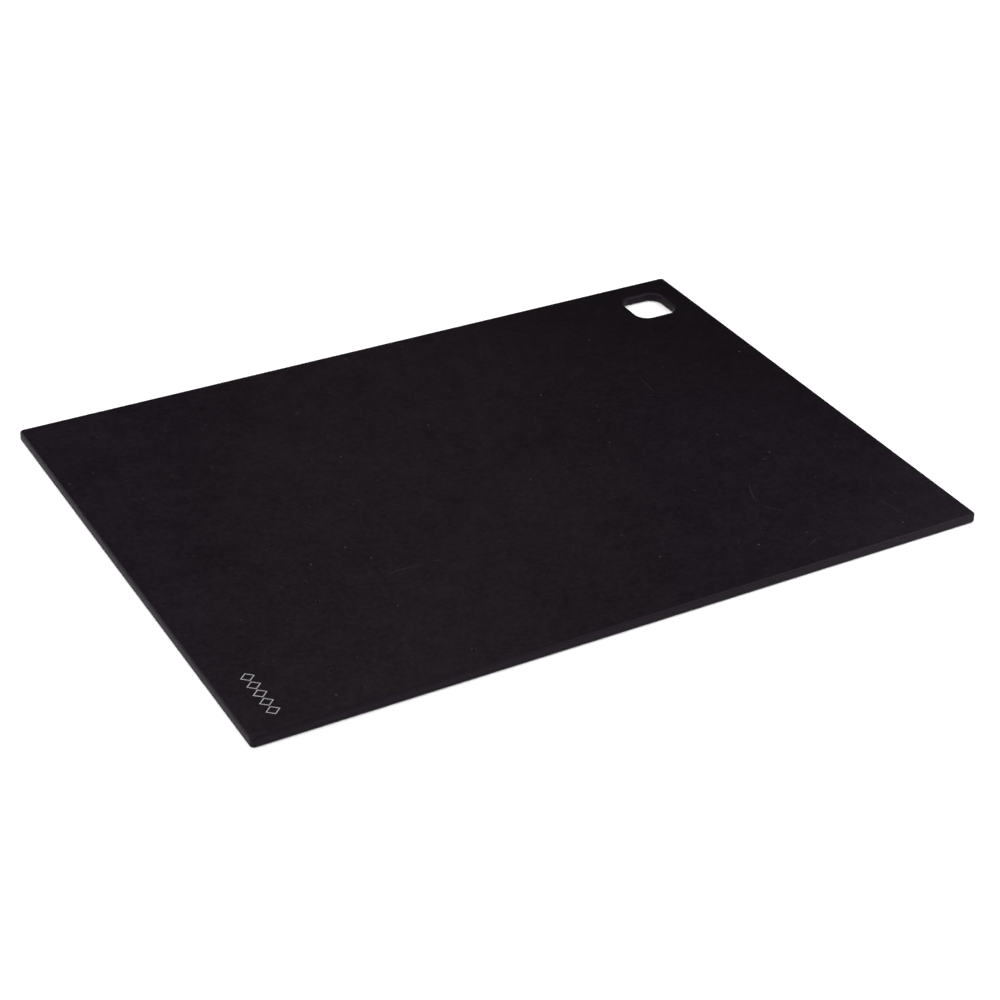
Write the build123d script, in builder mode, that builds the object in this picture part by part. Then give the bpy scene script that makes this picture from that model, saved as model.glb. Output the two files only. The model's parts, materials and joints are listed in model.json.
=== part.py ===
from build123d import *
import os

# A flat self healing mat: five plies pressed into one board, then milled round.
# Millimetres. The origin is the middle of the underside, +X runs along the long
# side, +Y along the short side and +Z up.

# Board
LENGTH = 440.0
WIDTH = 320.0
CORNER_RADIUS = 2.5
EDGE_ROUND = 1.3

# Plies and their thicknesses, from the underside up
CUTTING_PLY = 1.5
BACKING_PLY = 0.9
CORE_PLY = 1.2
PLIES = {
    "bottom_cutting_ply": CUTTING_PLY,
    "lower_backing_ply": BACKING_PLY,
    "core_ply": CORE_PLY,
    "upper_backing_ply": BACKING_PLY,
    "top_cutting_ply": CUTTING_PLY,
}
THICKNESS = sum(PLIES.values())

# Hanging hole, square with rounded corners, near the +X +Y corner
HOLE_SIZE = 28.0
HOLE_CORNER_RADIUS = 7.5
HOLE_INSET = 29.2
HOLE_ROUND = 2.0
HOLE_CENTRE = (LENGTH / 2 - HOLE_INSET, WIDTH / 2 - HOLE_INSET)

# Corner mark, a row of outlined lozenges near the -X -Y corner
MARK_COUNT = 5
MARK_PITCH = 7.4
MARK_HALF_X = 4.0
MARK_HALF_Y = 3.5
MARK_STROKE = 0.6
MARK_DEPTH = 0.1
MARK_CENTRE = (-201.2, -129.2)

os.makedirs("parts", exist_ok=True)


def lozenge_points(scale):
    """Corners of one lozenge, shrunk about its centre by the given scale."""
    half_x = MARK_HALF_X * scale
    half_y = MARK_HALF_Y * scale
    return [(half_x, 0), (0, half_y), (-half_x, 0), (0, -half_y)]


def draw_lozenges():
    """Draw the row of outlined lozenges in the sketch that is open."""
    side = (MARK_HALF_X**2 + MARK_HALF_Y**2) ** 0.5
    inradius = MARK_HALF_X * MARK_HALF_Y / side
    inner_scale = 1 - MARK_STROKE / inradius
    with Locations(MARK_CENTRE):
        with GridLocations(0, MARK_PITCH, 1, MARK_COUNT):
            Polygon(*lozenge_points(1))
            Polygon(*lozenge_points(inner_scale), mode=Mode.SUBTRACT)


# The pressed and milled board, from which every ply takes its outline and edges
with BuildPart() as board:
    with BuildSketch(Plane.XY) as outline:
        Rectangle(LENGTH, WIDTH)
        fillet(outline.vertices(), CORNER_RADIUS)
        with Locations(HOLE_CENTRE):
            RectangleRounded(HOLE_SIZE, HOLE_SIZE, HOLE_CORNER_RADIUS, mode=Mode.SUBTRACT)
    extrude(amount=THICKNESS)
    # Round over the outside on both faces
    flat_faces = board.faces().filter_by(Axis.Z)
    rim_edges = [edge for face in flat_faces for edge in face.outer_wire().edges()]
    fillet(rim_edges, EDGE_ROUND)
    # Round over the hanging hole on both faces
    flat_faces = board.faces().filter_by(Axis.Z)
    hole_edges = [edge for face in flat_faces for edge in face.inner_wires()[0].edges()]
    fillet(hole_edges, HOLE_ROUND)

# Plies, each one slice of the board
ply_base = 0.0
for ply_name, ply_thickness in PLIES.items():
    ply_top = ply_base + ply_thickness
    with BuildPart() as ply:
        add(board.part)
        if ply_base > 0:
            split(bisect_by=Plane.XY.offset(ply_base), keep=Keep.TOP)
        if ply_name != "top_cutting_ply":
            split(bisect_by=Plane.XY.offset(ply_top), keep=Keep.BOTTOM)
        if ply_name == "top_cutting_ply":
            # Shallow pockets that the pressed mark fills
            with BuildSketch(Plane.XY.offset(THICKNESS - MARK_DEPTH)):
                draw_lozenges()
            extrude(amount=MARK_DEPTH, mode=Mode.SUBTRACT)
    ply.part.label = ply_name
    export_step(ply.part, f"parts/{ply_name}.step")
    ply_base = ply_top

# Corner mark, pressed flush into the top ply
with BuildPart() as corner_mark:
    with BuildSketch(Plane.XY.offset(THICKNESS - MARK_DEPTH)):
        draw_lozenges()
    extrude(amount=MARK_DEPTH)
corner_mark.part.label = "corner_mark"
export_step(corner_mark.part, "parts/corner_mark.step")
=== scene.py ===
import json
import math

import bpy
from mathutils import Matrix, Vector
from mathutils.geometry import delaunay_2d_cdt


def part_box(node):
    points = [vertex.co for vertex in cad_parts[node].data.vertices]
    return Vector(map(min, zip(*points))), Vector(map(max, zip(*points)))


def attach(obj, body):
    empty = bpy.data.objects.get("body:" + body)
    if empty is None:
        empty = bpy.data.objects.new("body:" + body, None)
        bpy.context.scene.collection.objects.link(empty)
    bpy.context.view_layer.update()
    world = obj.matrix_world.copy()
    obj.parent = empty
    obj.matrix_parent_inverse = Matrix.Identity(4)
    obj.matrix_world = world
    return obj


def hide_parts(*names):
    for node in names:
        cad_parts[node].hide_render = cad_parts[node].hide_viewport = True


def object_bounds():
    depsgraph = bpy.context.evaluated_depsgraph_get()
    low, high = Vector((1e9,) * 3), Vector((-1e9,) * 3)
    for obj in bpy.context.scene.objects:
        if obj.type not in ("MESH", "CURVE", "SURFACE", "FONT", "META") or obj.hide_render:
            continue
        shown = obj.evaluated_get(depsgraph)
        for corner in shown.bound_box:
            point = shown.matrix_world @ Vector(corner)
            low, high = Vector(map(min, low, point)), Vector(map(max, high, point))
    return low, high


# A flat black self healing mat: five pressed plies, whose number is a guess, a
# milled round-over, a hanging hole and a pale pressed mark. Metres, in the row
# frame: +X along the long side, +Y along the short side, +Z up, origin in the
# middle of the underside.

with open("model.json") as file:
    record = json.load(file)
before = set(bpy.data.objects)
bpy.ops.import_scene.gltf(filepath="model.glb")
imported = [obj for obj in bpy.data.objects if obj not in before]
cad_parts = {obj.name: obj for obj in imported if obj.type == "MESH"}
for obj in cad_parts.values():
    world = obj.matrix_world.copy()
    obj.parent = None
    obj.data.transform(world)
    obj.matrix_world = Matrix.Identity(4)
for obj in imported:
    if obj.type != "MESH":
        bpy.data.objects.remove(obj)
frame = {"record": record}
cad_low, cad_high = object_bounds()

# ---------------------------------------------------------------- dimensions

PLY_SLOTS = {
    "bottom_cutting_ply": "cutting_face",
    "lower_backing_ply": "backing",
    "core_ply": "core",
    "upper_backing_ply": "backing",
    "top_cutting_ply": "cutting_face",
}
HALF_LENGTH = cad_high.x
HALF_WIDTH = cad_high.y
THICKNESS = cad_high.z
CORNER_RADIUS = 0.0025
EDGE_ROUND = 0.0013
HOLE_HALF = 0.014
HOLE_CORNER_RADIUS = 0.0075
HOLE_ROUND = 0.002
SEAM_DEPTH = 0.00003

MARK_COUNT = 5
MARK_PITCH = 0.0074
MARK_HALF_X = 0.0040
MARK_HALF_Y = 0.0035
MARK_STROKE = 0.0006
MARK_SINK = 0.00002
MARK_BEVEL = 0.00004

ROUND_STEPS = 14
CORNER_STEPS = 16
HOLE_CORNER_STEPS = 24
SIDE_STEP = 0.008
GRID_STEP = 0.016

SCORE_HALF_WIDTH = 0.00022
SCORE_DEPTH = 0.00004
SCORE_STEP = 0.003

# How far the inner grid of a face stays from the hole, the mark and the scores
HOLE_MARGIN = 0.006
MARK_MARGIN = 1.6
SCORE_MARGIN = 0.004
MERGE_DISTANCE = 1e-9
SHARP_ANGLE = math.radians(24)

# ------------------------------------------------------------------ outlines


def mount_position(name):
    """Position of one of the record's mounts."""
    for mount in frame["record"]["mounts"]:
        if mount["name"] == name:
            return Vector(mount["pos_m"])
    raise ValueError(f"the record has no mount named {name}")


HOLE_CENTRE = mount_position("hanging_hole")


def rounded_ring(centre, half_x, half_y, radius, corner_steps, side_divisions):
    """Counter-clockwise points of a rectangle with rounded corners."""
    corners = [(1, 1), (-1, 1), (-1, -1), (1, -1)]
    arcs = []
    for index, (sign_x, sign_y) in enumerate(corners):
        arc_x = centre.x + sign_x * (half_x - radius)
        arc_y = centre.y + sign_y * (half_y - radius)
        arc = []
        for step in range(corner_steps + 1):
            angle = math.pi / 2 * (index + step / corner_steps)
            arc.append((arc_x + radius * math.cos(angle), arc_y + radius * math.sin(angle)))
        arcs.append(arc)
    ring = []
    for index, arc in enumerate(arcs):
        start = arc[-1]
        end = arcs[(index + 1) % 4][0]
        divisions = side_divisions[index % 2]
        ring.extend(arc)
        for step in range(1, divisions):
            share = step / divisions
            ring.append((start[0] + (end[0] - start[0]) * share, start[1] + (end[1] - start[1]) * share))
    return ring


def outer_ring(inset):
    """The mat's outline, pulled in by inset."""
    divisions = (round(2 * HALF_LENGTH / SIDE_STEP), round(2 * HALF_WIDTH / SIDE_STEP))
    return rounded_ring(
        Vector((0, 0)), HALF_LENGTH - inset, HALF_WIDTH - inset, CORNER_RADIUS - inset,
        CORNER_STEPS, divisions,
    )


def hole_ring(growth):
    """The hanging hole's outline, grown by growth."""
    return rounded_ring(
        HOLE_CENTRE, HOLE_HALF + growth, HOLE_HALF + growth, HOLE_CORNER_RADIUS + growth,
        HOLE_CORNER_STEPS, (4, 4),
    )


def round_over(radius, low, high):
    """Heights and set-backs of a board edge rounded on both faces, between two heights."""
    levels = []
    for step in range(ROUND_STEPS + 1):
        angle = math.pi / 2 * step / ROUND_STEPS
        back = radius * (1 - math.sin(angle))
        rise = radius * (1 - math.cos(angle))
        levels.append((rise, back))
        levels.append((THICKNESS - rise, back))
    levels.sort()
    inside = [level for level in levels if low + SEAM_DEPTH * 1.5 < level[0] < high - SEAM_DEPTH * 1.5]

    def back_at(height):
        """Set-back of the rounded edge at a height."""
        depth = min(height, THICKNESS - height)
        if depth >= radius:
            return 0.0
        return radius - math.sqrt(max(0.0, radius**2 - (radius - depth) ** 2))

    profile = []
    if low > 0:
        profile.append((low, back_at(low) + SEAM_DEPTH))
        profile.append((low + SEAM_DEPTH, back_at(low + SEAM_DEPTH)))
    else:
        profile.append((0.0, radius))
    profile.extend(level for level in inside if 0 < level[0] < THICKNESS)
    if high < THICKNESS:
        profile.append((high - SEAM_DEPTH, back_at(high - SEAM_DEPTH)))
        profile.append((high, back_at(high) + SEAM_DEPTH))
    else:
        profile.append((THICKNESS, radius))
    return profile


# --------------------------------------------------------------------- marks


def lozenge(centre, scale):
    """Corners of one lozenge, counter-clockwise."""
    half_x = MARK_HALF_X * scale
    half_y = MARK_HALF_Y * scale
    return [
        (centre[0] + half_x, centre[1]),
        (centre[0], centre[1] + half_y),
        (centre[0] - half_x, centre[1]),
        (centre[0], centre[1] - half_y),
    ]


def lozenge_scale(inset):
    """Scale that moves a lozenge's sides in by inset."""
    inradius = MARK_HALF_X * MARK_HALF_Y / math.hypot(MARK_HALF_X, MARK_HALF_Y)
    return 1 - inset / inradius


def lozenge_reach(point, centre):
    """1 on the full lozenge's sides, below 1 inside them."""
    return abs(point[0] - centre[0]) / MARK_HALF_X + abs(point[1] - centre[1]) / MARK_HALF_Y


MARK_LOW, MARK_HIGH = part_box("corner_mark")
MARK_MIDDLE = (MARK_LOW + MARK_HIGH) / 2
MARK_CENTRES = [
    (MARK_MIDDLE.x, MARK_MIDDLE.y + MARK_PITCH * (index - (MARK_COUNT - 1) / 2))
    for index in range(MARK_COUNT)
]

# -------------------------------------------------------------------- meshes

# Material places on a ply: its cut face, its milled edge and its knife scores
FACE, EDGE, SCORED = range(3)


class Shell:
    """Collects the vertices and faces of one closed piece."""

    def __init__(self):
        self.points = []
        self.faces = []
        self.kinds = []

    def ring(self, outline, height):
        """Adds an outline's points at a height. Returns their numbers."""
        start = len(self.points)
        self.points.extend((x, y, height) for x, y in outline)
        return list(range(start, len(self.points)))

    def strip(self, low, high, kind):
        """Quads between two rings of the same length, facing away from their middle."""
        count = len(low)
        for index in range(count):
            after = (index + 1) % count
            self.faces.append((low[index], low[after], high[after], high[index]))
            self.kinds.append(kind)

    def face(self, corners, kind):
        """Adds one face."""
        self.faces.append(tuple(corners))
        self.kinds.append(kind)

    def build(self, name, materials):
        """Makes the object, smooth but for its sharp edges."""
        mesh = bpy.data.meshes.new(name)
        mesh.from_pydata(self.points, [], self.faces)
        mesh.validate()
        for material in materials:
            mesh.materials.append(material)
        mesh.polygons.foreach_set("material_index", self.kinds)
        mesh.shade_smooth()
        mesh.set_sharp_from_angle(angle=SHARP_ANGLE)
        mesh.update()
        piece = bpy.data.objects.new(name, mesh)
        bpy.context.scene.collection.objects.link(piece)
        return piece


def wall(shell, profile, ring_of, inward, kind):
    """Stacks rings up a profile. Returns the lowest and the highest ring."""
    rings = [(ring_of(back), height) for height, back in profile]
    numbered = [shell.ring(outline, height) for outline, height in rings]
    for low, high in zip(numbered, numbered[1:]):
        if inward:
            shell.strip(high, low, kind)
        else:
            shell.strip(low, high, kind)
    return numbered[0], numbered[-1]


class Score:
    """A shallow knife score: a bent line that fades to nothing at both ends."""

    def __init__(self, start, end, bow):
        self.line = []
        steps = max(3, round(math.dist(start, end) / SCORE_STEP))
        along = Vector((end[0] - start[0], end[1] - start[1]))
        across = Vector((-along.y, along.x)).normalized()
        for step in range(steps + 1):
            share = step / steps
            point = Vector(start) + along * share + across * bow * 4 * share * (1 - share)
            self.line.append((point.x, point.y))
        self.across = across

    def width_at(self, index):
        """Half the score's width at one point of its line."""
        share = index / (len(self.line) - 1)
        return SCORE_HALF_WIDTH * math.sin(math.pi * share) ** 0.5


def cap(shell, outer, hole, height, up, kind, pockets=False, scores=()):
    """Closes a ply's face between its outer ring and its hole ring with triangles."""
    flat = [shell.points[index] for index in outer + hole]
    coords = [Vector((x, y)) for x, y, _ in flat]
    edges = []
    count = len(outer)
    edges.extend((index, (index + 1) % count) for index in range(count))
    more = len(hole)
    edges.extend((count + index, count + (index + 1) % more) for index in range(more))

    def add_loop(loop):
        """Keeps a closed outline as edges of the triangles."""
        start = len(coords)
        coords.extend(Vector(point) for point in loop)
        edges.extend((start + index, start + (index + 1) % len(loop)) for index in range(len(loop)))

    if pockets:
        for centre in MARK_CENTRES:
            add_loop(lozenge(centre, 1))
            add_loop(lozenge(centre, lozenge_scale(MARK_STROKE)))

    lowered = {}
    for score in scores:
        last = len(score.line) - 1
        centre_ids = []
        left_ids = []
        right_ids = []
        for index, point in enumerate(score.line):
            width = score.width_at(index) if 0 < index < last else 0.0
            centre_ids.append(len(coords))
            coords.append(Vector(point))
            lowered[centre_ids[-1]] = SCORE_DEPTH * width / SCORE_HALF_WIDTH
            if width:
                left_ids.append(len(coords))
                coords.append(Vector(point) + score.across * width)
                right_ids.append(len(coords))
                coords.append(Vector(point) - score.across * width)
        first, final = centre_ids[0], centre_ids[-1]
        for path in (centre_ids, [first, *left_ids, final], [first, *right_ids, final]):
            edges.extend(zip(path, path[1:]))

    columns = round(2 * HALF_LENGTH / GRID_STEP)
    rows = round(2 * HALF_WIDTH / GRID_STEP)
    for column in range(1, columns):
        for row in range(1, rows):
            x = -HALF_LENGTH + 2 * HALF_LENGTH * column / columns
            y = -HALF_WIDTH + 2 * HALF_WIDTH * row / rows
            from_hole = max(abs(x - HOLE_CENTRE.x), abs(y - HOLE_CENTRE.y))
            near_hole = from_hole < HOLE_HALF + HOLE_MARGIN
            near_mark = pockets and any(
                lozenge_reach((x, y), centre) < MARK_MARGIN for centre in MARK_CENTRES
            )
            near_score = any(
                math.dist((x, y), point) < SCORE_MARGIN for score in scores for point in score.line
            )
            if not (near_hole or near_mark or near_score):
                coords.append(Vector((x, y)))

    # Triangles over the whole face. The ones inside the hole are left out below
    found = delaunay_2d_cdt(coords, edges, [], 0, MERGE_DISTANCE, True)
    points, triangles, origins = found[0], found[2], found[3]
    known = outer + hole
    top_of = {}
    floor_of = {}
    inner_reach = lozenge_scale(MARK_STROKE)

    def top_vertex(index):
        """The face's vertex for a triangle corner, shared with the rings, sunk in a score."""
        if index not in top_of:
            source = [number for number in origins[index] if number < len(known)]
            if source:
                top_of[index] = known[source[0]]
            else:
                sunk = max([lowered.get(number, 0.0) for number in origins[index]] or [0.0])
                shell.points.append((points[index].x, points[index].y, height - sunk))
                top_of[index] = len(shell.points) - 1
        return top_of[index]

    def floor_vertex(index):
        """The pocket floor's vertex for a triangle corner."""
        if index not in floor_of:
            shell.points.append((points[index].x, points[index].y, MARK_LOW.z))
            floor_of[index] = len(shell.points) - 1
        return floor_of[index]

    pocket_edges = {}
    for triangle in triangles:
        middle = sum((points[index] for index in triangle), Vector((0, 0))) / 3
        offset_x = abs(middle.x - HOLE_CENTRE.x)
        offset_y = abs(middle.y - HOLE_CENTRE.y)
        if inside_hole(offset_x, offset_y, coords[count:count + more]):
            continue
        reach = min(lozenge_reach(middle, centre) for centre in MARK_CENTRES)
        in_pocket = pockets and inner_reach < reach < 1
        vertex = floor_vertex if in_pocket else top_vertex
        corners = [vertex(index) for index in triangle]
        in_score = any(lowered.get(number) for index in triangle for number in origins[index])
        shell.face(corners if up else reversed(corners), SCORED if in_score else kind)
        if in_pocket:
            for index in range(3):
                a, b = triangle[index], triangle[(index + 1) % 3]
                if (b, a) in pocket_edges:
                    del pocket_edges[(b, a)]
                else:
                    pocket_edges[(a, b)] = True
    for a, b in pocket_edges:
        shell.face((floor_vertex(b), floor_vertex(a), top_vertex(a), top_vertex(b)), kind)


def inside_hole(offset_x, offset_y, ring):
    """Whether a point at that offset from the hole's centre is inside the ring."""
    half = max(abs(point.x - HOLE_CENTRE.x) for point in ring)
    radius = HOLE_CORNER_RADIUS + half - HOLE_HALF
    past_x = max(offset_x - (half - radius), 0)
    past_y = max(offset_y - (half - radius), 0)
    return math.hypot(past_x, past_y) < radius * 0.9999


def smooth_normals(piece):
    """Keeps the flat faces flat and the round-overs smooth where they meet."""
    modifier = piece.modifiers.new("even_normals", "WEIGHTED_NORMAL")
    modifier.mode = "FACE_AREA"
    modifier.keep_sharp = True
    modifier.weight = 50


def make_ply(name, materials, scores=()):
    """One ply of the board, from its box in the frame."""
    low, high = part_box(name)
    shell = Shell()
    outer_low, outer_high = wall(shell, round_over(EDGE_ROUND, low.z, high.z), outer_ring, False, EDGE)
    hole_low, hole_high = wall(shell, round_over(HOLE_ROUND, low.z, high.z), hole_ring, True, EDGE)
    on_top = name == "top_cutting_ply"
    cap(shell, outer_low, hole_low, low.z, False, FACE)
    cap(shell, outer_high, hole_high, high.z, True, FACE, pockets=on_top, scores=scores)
    piece = shell.build(name + "_skin", materials)
    smooth_normals(piece)
    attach(piece, "root")
    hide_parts(name)
    return piece


def make_mark(material):
    """Row of outlined lozenges in pale foil, pressed a hair below the face."""
    shell = Shell()
    top = MARK_HIGH.z - MARK_SINK
    for centre in MARK_CENTRES:
        outer_low = shell.ring(lozenge(centre, 1), MARK_LOW.z)
        outer_side = shell.ring(lozenge(centre, 1), top - MARK_BEVEL)
        outer_top = shell.ring(lozenge(centre, lozenge_scale(MARK_BEVEL)), top)
        inner_top = shell.ring(lozenge(centre, lozenge_scale(MARK_STROKE - MARK_BEVEL)), top)
        inner_side = shell.ring(lozenge(centre, lozenge_scale(MARK_STROKE)), top - MARK_BEVEL)
        inner_low = shell.ring(lozenge(centre, lozenge_scale(MARK_STROKE)), MARK_LOW.z)
        rings = [outer_low, outer_side, outer_top, inner_top, inner_side, inner_low, outer_low]
        for ring, after in zip(rings, rings[1:]):
            shell.strip(ring, after, 0)
    piece = shell.build("corner_mark_foil", [material])
    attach(piece, "root")
    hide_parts("corner_mark")
    return piece


# ----------------------------------------------------------------- materials


class Nodes:
    """Short hand for one material's node tree."""

    def __init__(self, name):
        self.material = bpy.data.materials.new(name)
        self.material.use_nodes = True
        self.tree = self.material.node_tree
        self.shader = self.tree.nodes["Principled BSDF"]
        self.place = self.tree.nodes.new("ShaderNodeTexCoord").outputs["Object"]

    def node(self, kind, inputs=None, **settings):
        """Adds a node, with its settings and its inputs."""
        made = self.tree.nodes.new(kind)
        for key, value in settings.items():
            setattr(made, key, value)
        for key, value in (inputs or {}).items():
            self.feed(made.inputs[key], value)
        return made

    def feed(self, socket, value):
        """Links a socket to an input, or sets its value."""
        if isinstance(value, bpy.types.NodeSocket):
            self.tree.links.new(value, socket)
        else:
            socket.default_value = value

    def stretch(self, scale, turn=(0.0, 0.0, 0.0)):
        """Object position, turned and then stretched."""
        turned = self.node("ShaderNodeMapping", {"Vector": self.place, "Rotation": turn})
        made = self.node("ShaderNodeMapping", {"Vector": turned.outputs["Vector"], "Scale": scale})
        return made.outputs["Vector"]

    def noise(self, scale, detail=4.0, roughness=0.55, vector=None):
        """Noise from 0 to 1, around a half."""
        made = self.node("ShaderNodeTexNoise", {
            "Vector": vector or self.place, "Scale": scale, "Detail": detail,
            "Roughness": roughness,
        })
        return made.outputs["Fac"]

    def span(self, value, low, high, to_low=0.0, to_high=1.0):
        """Maps one range to another and stops at its ends."""
        made = self.node("ShaderNodeMapRange", {
            "Value": value, "From Min": low, "From Max": high,
            "To Min": to_low, "To Max": to_high,
        })
        made.clamp = True
        return made.outputs["Result"]

    def maths(self, operation, a, b=0.0):
        """One step of arithmetic on two values."""
        return self.node("ShaderNodeMath", {0: a, 1: b}, operation=operation).outputs[0]

    def weighted(self, *parts):
        """Sum of values times their weights."""
        total = None
        for value, weight in parts:
            term = self.maths("MULTIPLY", value, weight)
            total = term if total is None else self.maths("ADD", total, term)
        return total

    def mix(self, share, a, b):
        """Colour a, moved toward colour b by a share."""
        made = self.node("ShaderNodeMix", data_type="RGBA")
        # The colour sockets of this node: 6 and 7 in, 2 out
        self.feed(made.inputs[0], share)
        self.feed(made.inputs[6], a)
        self.feed(made.inputs[7], b)
        return made.outputs[2]

    def bump(self, height, distance, strength=1.0, before=None):
        """A normal bent by a height, on top of an earlier one."""
        made = self.node("ShaderNodeBump", {
            "Height": height, "Distance": distance, "Strength": strength,
        })
        if before is not None:
            self.tree.links.new(before, made.inputs["Normal"])
        return made.outputs["Normal"]


def grey(value):
    """An opaque grey."""
    return (value, value, value, 1.0)


# Fitted to the photograph's levels under this scene's lights, and not measured on
# a mat. Real vinyl has an index near 1.53, and is likely paler than these blacks
FACE_IOR = 1.41
EDGE_IOR = 1.242
FACE_DARK = (0.0018, 0.0006, 0.0019, 1.0)
FACE_LIGHT = (0.0046, 0.0030, 0.0048, 1.0)
PAINTED_SHADE_NEAR_HOLE = (0.0008, 0.0001, 0.0006, 1.0)
FACE_DENT = (0.0002, 0.0001, 0.0002, 1.0)
SCORE_DARK = (0.0066, 0.0051, 0.0063, 1.0)
SCORE_LIGHT = (0.0166, 0.0145, 0.0158, 1.0)
EDGE_DARK = (0.0008, 0.0001, 0.0010, 1.0)
EDGE_LIGHT = (0.0018, 0.0001, 0.0022, 1.0)
PURPLE_CAST = (1.04, 0.88, 1.11, 1.0)
EDGE_CAST = (1.04, 0.87, 1.06, 1.0)
DUST = (0.047, 0.044, 0.045, 1.0)


def cutting_face_material():
    """Calendered black vinyl: mottled, finely grained, with dust, pits and old scuffs."""
    n = Nodes("black_cutting_vinyl")
    cloud = n.noise(9.0, 3.0, 0.5)
    blotch = n.noise(90.0, 4.0, 0.6)
    mottle = n.noise(420.0, 4.0, 0.75)
    shade = n.weighted((cloud, 0.15), (blotch, 0.25), (mottle, 0.60))
    colour = n.mix(n.span(shade, 0.38, 0.62), FACE_DARK, FACE_LIGHT)
    # Painted shade: the face's colour is darkened toward the corner with the hole, as in the
    # # photograph, standing in for less light falling there and not a darker mat
    where = n.node("ShaderNodeSeparateXYZ", {"Vector": n.place})
    painted_shade_toward_hole = n.weighted((where.outputs["X"], 1.0), (where.outputs["Y"], 0.9), (cloud, 0.1))
    colour = n.mix(n.span(painted_shade_toward_hole, 0.19, 0.36, 0.0, 0.85), colour, PAINTED_SHADE_NEAR_HOLE)
    # Hairline scuffs in two directions
    for turn, reach in ((0.5, 0.68), (-0.9, 0.69)):
        along = n.stretch((70.0, 1100.0, 70.0), (0.0, 0.0, turn))
        hair = n.noise(1.0, 1.0, 0.5, along)
        colour = n.mix(n.span(hair, reach, reach + 0.06, 0.0, 0.04), colour, DUST)
    # Pale dust pressed into the face, thicker in patches
    grit = n.node(
        "ShaderNodeTexVoronoi", {"Vector": n.place, "Scale": 130.0}, voronoi_dimensions="2D"
    )
    chance = n.node("ShaderNodeSeparateColor", {"Color": grit.outputs["Color"]})
    size = n.span(chance.outputs["Green"], 0.0, 1.0, 0.03, 0.09)
    near = n.maths("LESS_THAN", grit.outputs["Distance"], size)
    patch = n.span(n.noise(14.0), 0.40, 0.7, 0.06, 0.14)
    kept = n.maths("LESS_THAN", chance.outputs["Red"], patch)
    dust = n.maths("MULTIPLY", near, kept)
    strength = n.maths("POWER", chance.outputs["Blue"], 3.0)
    dust = n.maths("MULTIPLY", dust, n.span(strength, 0.0, 1.0, 0.09, 0.78))
    colour = n.mix(dust, colour, DUST)
    # Small dark dents
    dents = n.node(
        "ShaderNodeTexVoronoi", {"Vector": n.place, "Scale": 42.0}, voronoi_dimensions="2D"
    )
    dent_chance = n.node("ShaderNodeSeparateColor", {"Color": dents.outputs["Color"]})
    dent_size = n.span(dent_chance.outputs["Green"], 0.0, 1.0, 0.016, 0.045)
    dent = n.span(n.maths("SUBTRACT", dent_size, dents.outputs["Distance"]), 0.0, 0.012)
    dent = n.maths("MULTIPLY", dent, n.maths("LESS_THAN", dent_chance.outputs["Red"], 0.35))
    colour = n.mix(dent, colour, FACE_DENT)
    n.feed(n.shader.inputs["Base Color"], colour)
    polish = n.weighted((n.noise(24.0, 3.0, 0.5), 0.4), (n.noise(300.0, 5.0, 0.7), 0.6))
    gloss = n.span(polish, 0.35, 0.65, 0.32, 0.38)
    gloss = n.maths("ADD", gloss, n.maths("MULTIPLY", dent, 0.3))
    n.feed(n.shader.inputs["Roughness"], gloss)
    # The mottle shines unevenly, and the dents hardly shine at all. An exported
    # model loses this link
    shine = n.span(shade, 0.38, 0.62, 0.39, 0.61)
    shine = n.maths("MULTIPLY", shine, n.span(dent, 0.0, 1.0, 1.0, 0.24))
    n.feed(n.shader.inputs["Specular IOR Level"], shine)
    n.shader.inputs["IOR"].default_value = FACE_IOR
    n.shader.inputs["Specular Tint"].default_value = PURPLE_CAST
    grain = n.noise(2600.0, 3.0, 0.6)
    pits = n.noise(700.0, 4.0, 0.55)
    normal = n.bump(grain, 0.00002, 0.4)
    normal = n.bump(pits, 0.00004, 0.5, normal)
    normal = n.bump(n.maths("MULTIPLY", dent, -1.0), 0.00025, 1.0, normal)
    n.feed(n.shader.inputs["Normal"], normal)
    return n.material


def milled_edge_material(name):
    """The cut edge of the plies: matt, with the cutter's fine upright marks."""
    n = Nodes(name)
    blotch = n.noise(60.0, 4.0, 0.6)
    colour = n.mix(n.span(blotch, 0.35, 0.65), EDGE_DARK, EDGE_LIGHT)
    n.feed(n.shader.inputs["Base Color"], colour)
    chatter = n.noise(1800.0, 2.0, 0.5, n.stretch((1.0, 1.0, 0.06)))
    n.feed(n.shader.inputs["Roughness"], n.span(n.noise(300.0, 4.0, 0.6), 0.3, 0.7, 0.53, 0.59))
    n.shader.inputs["IOR"].default_value = EDGE_IOR
    n.shader.inputs["Specular Tint"].default_value = EDGE_CAST
    n.feed(n.shader.inputs["Normal"], n.bump(chatter, 0.00002, 0.5))
    return n.material


def scored_material():
    """Vinyl whitened by the stress of a closed-over cut."""
    n = Nodes("stress_whitened_vinyl")
    broken = n.noise(500.0, 4.0, 0.7)
    colour = n.mix(n.span(broken, 0.4, 0.6), SCORE_DARK, SCORE_LIGHT)
    n.feed(n.shader.inputs["Base Color"], colour)
    n.feed(n.shader.inputs["Roughness"], n.span(broken, 0.3, 0.7, 0.42, 0.55))
    n.shader.inputs["IOR"].default_value = FACE_IOR
    n.feed(n.shader.inputs["Normal"], n.bump(n.noise(1500.0, 3.0, 0.6), 0.00003, 0.5))
    return n.material


def mark_material():
    """Pale grey pressed foil, a little worn."""
    n = Nodes("pale_foil")
    wear = n.noise(900.0, 5.0, 0.6)
    n.feed(n.shader.inputs["Base Color"], n.mix(n.span(wear, 0.3, 0.7), grey(0.20), grey(0.31)))
    n.feed(n.shader.inputs["Roughness"], n.span(wear, 0.3, 0.7, 0.5, 0.38))
    n.feed(n.shader.inputs["Normal"], n.bump(wear, 0.00001, 0.5))
    return n.material


# ---------------------------------------------------------------- the object

# In the order of FACE, EDGE and SCORED
ply_materials = [cutting_face_material(), milled_edge_material("black_milled_edge"), scored_material()]

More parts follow.
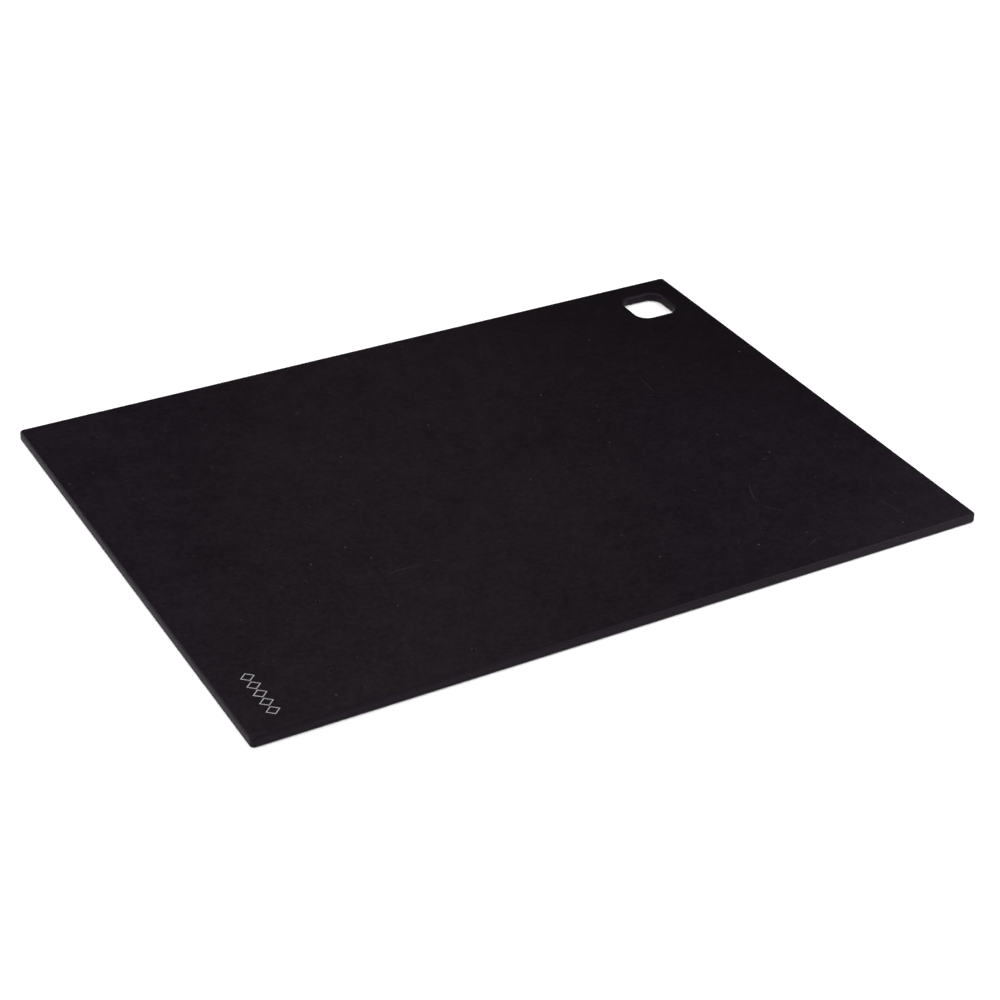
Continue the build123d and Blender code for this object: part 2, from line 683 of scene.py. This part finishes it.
# Old knife scores that the face has almost closed over, after faint lines in the
# photograph, with a guessed depth: start, end and bow
SCORES = [
    Score((-0.1010, -0.0660), (-0.0765, -0.0655), 0.0006),
    Score((-0.0740, -0.0650), (-0.0640, -0.0685), 0.0002),
    Score((0.1250, -0.0760), (0.1165, -0.0960), -0.0012),
    Score((0.1165, -0.0975), (0.1255, -0.1090), -0.0015),
    Score((0.1140, -0.1460), (0.1280, -0.1390), 0.0005),
    Score((0.1340, 0.0530), (0.1325, 0.0345), 0.0004),
    Score((0.1795, -0.1240), (0.1815, -0.1410), 0.0010),
]

for ply_name in PLY_SLOTS:
    is_top = ply_name == "top_cutting_ply"
    make_ply(ply_name, ply_materials if is_top else ply_materials[:2], SCORES if is_top else ())
make_mark(mark_material())

# --------------------------------------------------------------------- stage


FLOOR_HALF = 20.0
FLOOR_DROP = 0.0001


def make_floor():
    """A plain pale floor, a hair under the mat."""
    n = Nodes("pale_floor")
    n.feed(n.shader.inputs["Base Color"], n.mix(n.noise(3.0), grey(0.88), grey(0.90)))
    n.shader.inputs["Roughness"].default_value = 0.9
    n.shader.inputs["Specular IOR Level"].default_value = 0.1
    signs = ((-1, -1), (1, -1), (1, 1), (-1, 1))
    mesh = bpy.data.meshes.new("floor")
    mesh.from_pydata([(x * FLOOR_HALF, y * FLOOR_HALF, 0) for x, y in signs], [], [(0, 1, 2, 3)])
    mesh.materials.append(n.material)
    floor = bpy.data.objects.new("floor", mesh)
    floor.location.z = -FLOOR_DROP
    bpy.context.scene.collection.objects.link(floor)


def toward(azimuth, elevation):
    """Unit vector from the mat to an azimuth and an elevation, in degrees."""
    turn = math.radians(azimuth)
    rise = math.radians(elevation)
    flat = math.cos(rise)
    return Vector((math.sin(turn) * flat, -math.cos(turn) * flat, math.sin(rise)))


def add_light(name, azimuth, elevation, distance, size, power, colour=(1, 1, 1)):
    """A soft panel that looks at the mat from an azimuth and an elevation."""
    back = toward(azimuth, elevation)
    data = bpy.data.lights.new(name, "AREA")
    data.shape = "RECTANGLE"
    data.size, data.size_y = size
    data.energy = power
    data.color = colour
    light = bpy.data.objects.new(name, data)
    light.location = back * distance
    light.rotation_mode = "QUATERNION"
    light.rotation_quaternion = (-back).to_track_quat("-Z", "Y")
    light.visible_camera = False
    bpy.context.scene.collection.objects.link(light)
    return light


make_floor()
# Low broad panels light the upright edges and their rounds, high soft boxes the
# face, and the box on the camera's side fills the shadows on the floor. Their
# strengths are fitted to the photograph from its own side. Seen low from behind,
# the face mirrors the low panels and looks light grey
WARM = (1.0, 0.98, 0.62)
# Name, azimuth, elevation, distance, size, watts, and a colour where it isn't white
LIGHTS = [
    ("left_panel", -95, 13, 2.0, (1.4, 0.9), 8.0),
    ("back_left_panel", -147, 13, 2.0, (1.2, 0.9), 10.5),
    ("front_right_panel", 58, 11, 1.5, (1.4, 0.58), 7.0),
    ("far_right_panel", 50, 11, 3.0, (2.8, 1.15), 10.0),
    ("front_left_softbox", -31, 58, 2.5, (2.0, 2.0), 38.0),
    ("left_softbox", -90, 45, 2.5, (1.2, 1.2), 20.0),
    ("left_high", -90, 70, 2.5, (1.0, 1.0), 8.0),
    ("back_left_high", -150, 60, 2.5, (1.0, 1.0), 16.0),
    ("back_right_lamp", 150, 55, 1.0, (0.3, 0.3), 0.11, WARM),
    ("back_right_low_lamp", 155, 36, 0.9, (0.3, 0.3), 0.021, WARM),
    ("front_right_lamp", 60, 40, 0.9, (0.4, 0.4), 3.6),
    ("right_lamp", 95, 40, 0.9, (0.4, 0.4), 0.5),
]
for light_row in LIGHTS:
    add_light(*light_row)

# A narrow light that points straight down keeps the floor behind the mat white
wash = add_light("floor_wash", 135, 49, 2.0, (0.6, 0.6), 3.0)
wash.rotation_quaternion = (1, 0, 0, 0)
wash.data.spread = math.radians(66)

world = bpy.data.worlds.new("studio")
world.use_nodes = True
sky = world.node_tree.nodes["Background"]
sky.inputs["Color"].default_value = (1, 1, 1, 1)
sky.inputs["Strength"].default_value = 0.034
bpy.context.scene.world = world
bpy.context.scene.view_settings.view_transform = "Standard"

# -------------------------------------------------------------------- camera

# From a separate fit of the board's outline to the photograph
VIEW_AZIMUTH = -30.8608
VIEW_ELEVATION = 32.3457
VIEW_ROLL = 2.2499
VIEW_DISTANCE = 1.27037
VIEW_TARGET = Vector((-0.0102, -0.0292, 0.006))
LENS = 82.722
SENSOR_WIDTH = 36.0


def make_camera():
    """The camera at the photograph's angle."""
    back = toward(VIEW_AZIMUTH, VIEW_ELEVATION)
    data = bpy.data.cameras.new("camera")
    data.lens = LENS
    data.sensor_width = SENSOR_WIDTH
    camera = bpy.data.objects.new("camera", data)
    camera.location = VIEW_TARGET + back * VIEW_DISTANCE
    camera.rotation_mode = "QUATERNION"
    level = (-back).to_track_quat("-Z", "Y").to_matrix()
    roll = Matrix.Rotation(math.radians(VIEW_ROLL), 3, "Z")
    camera.rotation_quaternion = (level @ roll).to_quaternion()
    bpy.context.scene.collection.objects.link(camera)
    bpy.context.scene.camera = camera


make_camera()
